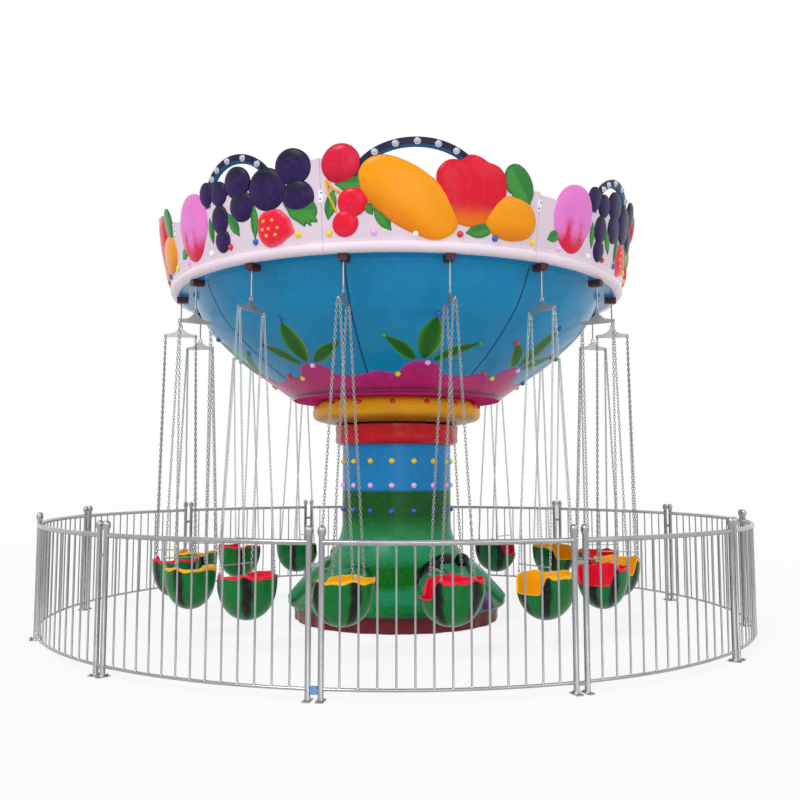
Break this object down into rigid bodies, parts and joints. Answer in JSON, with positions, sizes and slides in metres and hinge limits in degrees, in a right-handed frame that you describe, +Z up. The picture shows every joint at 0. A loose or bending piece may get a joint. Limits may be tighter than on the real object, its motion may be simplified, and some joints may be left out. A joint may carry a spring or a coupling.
{
  "type": "kiddie swing ride",
  "caption": "Fruit-crowned children's swing ride: melon-tub seats hang on chains from a turning blue bowl on a flared column, inside a round tube fence.",
  "frame": {"origin": "centre of the ride on the ground, on its turning axis", "axes": "+Z up along the turning axis; -Y faces the side that the picture shows; +X to the right of it"},
  "size_m": [7.1674, 7.1674, 4.286],
  "materials": {
    "stainless": "polished tube",
    "base_paint": "gloss paint",
    "skirt_shell": "gelcoat",
    "column_shell": "gelcoat",
    "drum_shell": "gelcoat",
    "mast_steel": "primer paint",
    "hub_steel": "primer paint",
    "arm_steel": "primer paint",
    "beam_steel": "primer paint",
    "hull_shell": "gelcoat",
    "gold_shell": "gelcoat",
    "crown_shell_a": "gelcoat",
    "crown_shell_b": "gelcoat",
    "bracket_paint": "gloss paint",
    "hanger_steel": "zinc plated",
    "seat_shell": "gelcoat"
  },
  "bodies": {
    "fixed_frame": {"fence_panel_01": "stainless", "fence_panel_02": "stainless", "fence_panel_03": "stainless", "fence_panel_04": "stainless", "fence_panel_05": "stainless", "fence_panel_06": "stainless", "fence_panel_07": "stainless", "fence_panel_08": "stainless", "fence_panel_09": "stainless", "fence_panel_10": "stainless", "fence_panel_11": "stainless", "fence_panel_12": "stainless", "base_plate": "base_paint", "base_skirt": "skirt_shell", "column": "column_shell", "drum": "drum_shell", "mast": "mast_steel"},
    "rotor": {"hub": "hub_steel", "arms": "arm_steel", "ring_beam": "beam_steel", "hull_panels": "hull_shell", "gold_ring": "gold_shell", "crown_panels_a": "crown_shell_a", "crown_panels_b": "crown_shell_b", "brackets": "bracket_paint"},
    "swing_01": {"hanger_01": "hanger_steel", "seat_01": "seat_shell"},
    "swing_02": {"hanger_02": "hanger_steel", "seat_02": "seat_shell"},
    "swing_03": {"hanger_03": "hanger_steel", "seat_03": "seat_shell"},
    "swing_04": {"hanger_04": "hanger_steel", "seat_04": "seat_shell"},
    "swing_05": {"hanger_05": "hanger_steel", "seat_05": "seat_shell"},
    "swing_06": {"hanger_06": "hanger_steel", "seat_06": "seat_shell"},
    "swing_07": {"hanger_07": "hanger_steel", "seat_07": "seat_shell"},
    "swing_08": {"hanger_08": "hanger_steel", "seat_08": "seat_shell"},
    "swing_09": {"hanger_09": "hanger_steel", "seat_09": "seat_shell"},
    "swing_10": {"hanger_10": "hanger_steel", "seat_10": "seat_shell"},
    "swing_11": {"hanger_11": "hanger_steel", "seat_11": "seat_shell"},
    "swing_12": {"hanger_12": "hanger_steel", "seat_12": "seat_shell"},
    "swing_13": {"hanger_13": "hanger_steel", "seat_13": "seat_shell"},
    "swing_14": {"hanger_14": "hanger_steel", "seat_14": "seat_shell"},
    "swing_15": {"hanger_15": "hanger_steel", "seat_15": "seat_shell"},
    "swing_16": {"hanger_16": "hanger_steel", "seat_16": "seat_shell"}
  },
  "joints": [
    {"name": "rotor_spin", "type": "hinge", "parent": "fixed_frame", "child": "rotor", "pos_m": [0, 0, 2.06], "axis": [0, 0, 1], "continuous": true},
    {"name": "swing_01_hinge", "type": "hinge", "parent": "rotor", "child": "swing_01", "pos_m": [0.44871, -2.25581, 3.33], "axis": [-0.9808, -0.1951, 0], "range_deg": [-6, 18]},
    {"name": "swing_02_hinge", "type": "hinge", "parent": "rotor", "child": "swing_02", "pos_m": [1.27781, -1.91238, 3.33], "axis": [-0.8315, -0.5556, 0], "range_deg": [-6, 18]},
    {"name": "swing_03_hinge", "type": "hinge", "parent": "rotor", "child": "swing_03", "pos_m": [1.91238, -1.27781, 3.33], "axis": [-0.5556, -0.8315, 0], "range_deg": [-6, 18]},
    {"name": "swing_04_hinge", "type": "hinge", "parent": "rotor", "child": "swing_04", "pos_m": [2.25581, -0.44871, 3.33], "axis": [-0.1951, -0.9808, 0], "range_deg": [-6, 18]},
    {"name": "swing_05_hinge", "type": "hinge", "parent": "rotor", "child": "swing_05", "pos_m": [2.25581, 0.44871, 3.33], "axis": [0.1951, -0.9808, 0], "range_deg": [-6, 18]},
    {"name": "swing_06_hinge", "type": "hinge", "parent": "rotor", "child": "swing_06", "pos_m": [1.91238, 1.27781, 3.33], "axis": [0.5556, -0.8315, 0], "range_deg": [-6, 18]},
    {"name": "swing_07_hinge", "type": "hinge", "parent": "rotor", "child": "swing_07", "pos_m": [1.27781, 1.91238, 3.33], "axis": [0.8315, -0.5556, 0], "range_deg": [-6, 18]},
    {"name": "swing_08_hinge", "type": "hinge", "parent": "rotor", "child": "swing_08", "pos_m": [0.44871, 2.25581, 3.33], "axis": [0.9808, -0.1951, 0], "range_deg": [-6, 18]},
    {"name": "swing_09_hinge", "type": "hinge", "parent": "rotor", "child": "swing_09", "pos_m": [-0.44871, 2.25581, 3.33], "axis": [0.9808, 0.1951, 0], "range_deg": [-6, 18]},
    {"name": "swing_10_hinge", "type": "hinge", "parent": "rotor", "child": "swing_10", "pos_m": [-1.27781, 1.91238, 3.33], "axis": [0.8315, 0.5556, 0], "range_deg": [-6, 18]},
    {"name": "swing_11_hinge", "type": "hinge", "parent": "rotor", "child": "swing_11", "pos_m": [-1.91238, 1.27781, 3.33], "axis": [0.5556, 0.8315, 0], "range_deg": [-6, 18]},
    {"name": "swing_12_hinge", "type": "hinge", "parent": "rotor", "child": "swing_12", "pos_m": [-2.25581, 0.44871, 3.33], "axis": [0.1951, 0.9808, 0], "range_deg": [-6, 18]},
    {"name": "swing_13_hinge", "type": "hinge", "parent": "rotor", "child": "swing_13", "pos_m": [-2.25581, -0.44871, 3.33], "axis": [-0.1951, 0.9808, 0], "range_deg": [-6, 18]},
    {"name": "swing_14_hinge", "type": "hinge", "parent": "rotor", "child": "swing_14", "pos_m": [-1.91238, -1.27781, 3.33], "axis": [-0.5556, 0.8315, 0], "range_deg": [-6, 18]},
    {"name": "swing_15_hinge", "type": "hinge", "parent": "rotor", "child": "swing_15", "pos_m": [-1.27781, -1.91238, 3.33], "axis": [-0.8315, 0.5556, 0], "range_deg": [-6, 18]},
    {"name": "swing_16_hinge", "type": "hinge", "parent": "rotor", "child": "swing_16", "pos_m": [-0.44871, -2.25581, 3.33], "axis": [-0.9808, 0.1951, 0], "range_deg": [-6, 18]}
  ]
}
